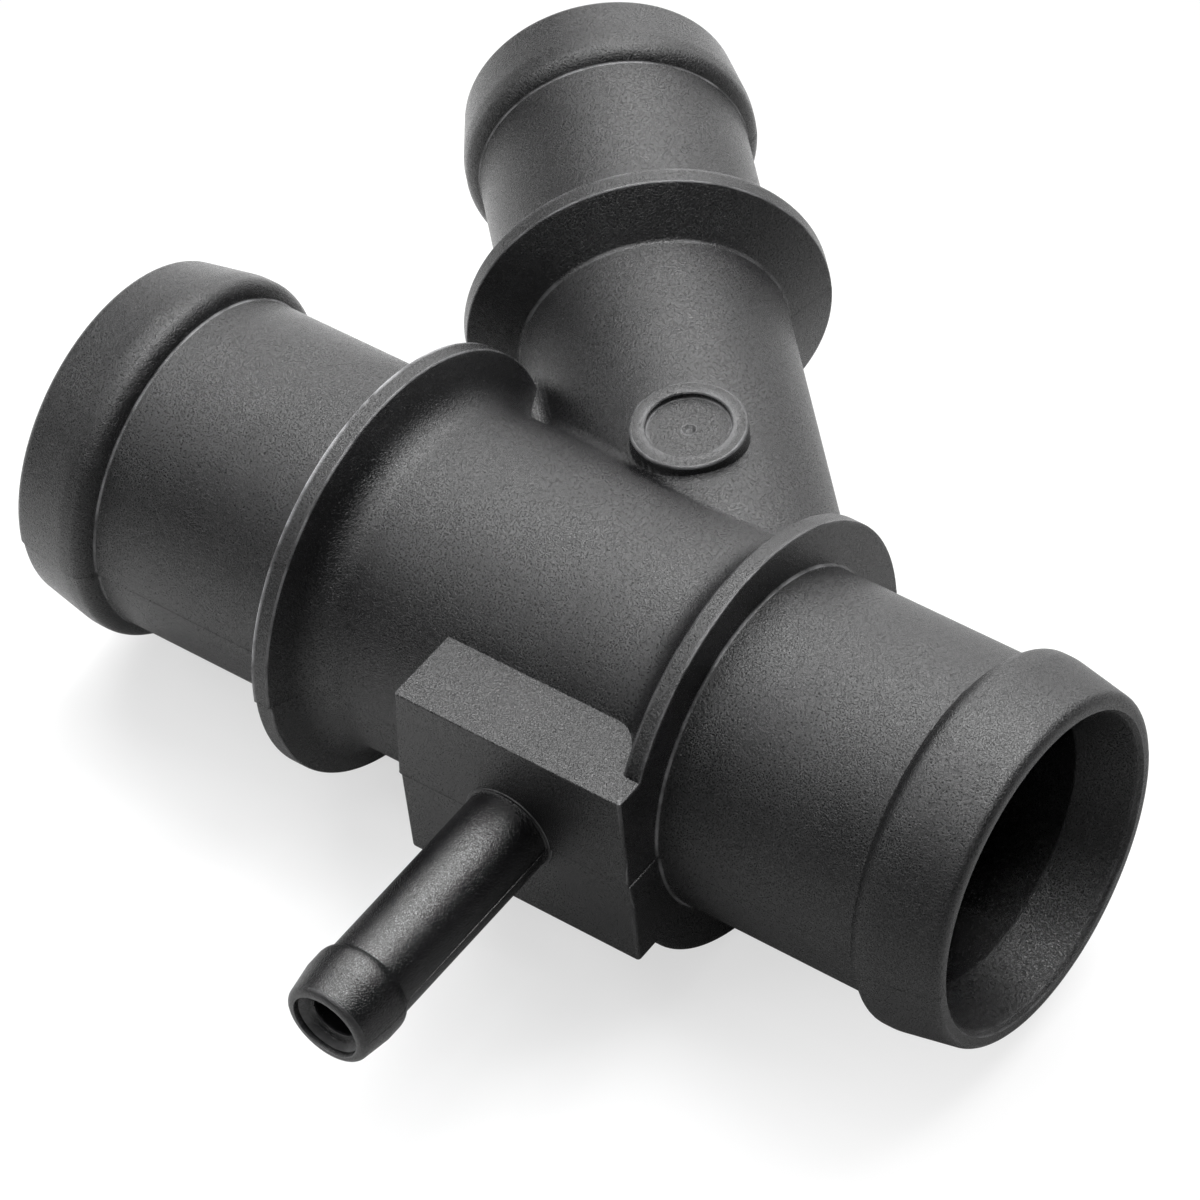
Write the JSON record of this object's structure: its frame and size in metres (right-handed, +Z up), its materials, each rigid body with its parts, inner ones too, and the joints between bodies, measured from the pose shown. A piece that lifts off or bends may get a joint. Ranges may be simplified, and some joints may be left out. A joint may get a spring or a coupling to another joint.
{
  "type": "coolant distributor pipe",
  "caption": "Moulded plastic coolant connector: straight run with two flanged hose spigots, an angled branch spigot and a small side nipple.",
  "frame": {"origin": "the point where the branch axis meets the run axis, inside the middle body", "axes": "+X along the run towards the port beside the block, +Z up and square to the plane that holds all the pipe axes, -Y along the nipple"},
  "size_m": [0.0996, 0.112, 0.0408],
  "materials": {
    "moulded_nylon": "fine moulded grain"
  },
  "bodies": {
    "root": {"distributor_pipe": "moulded_nylon"}
  },
  "joints": []
}
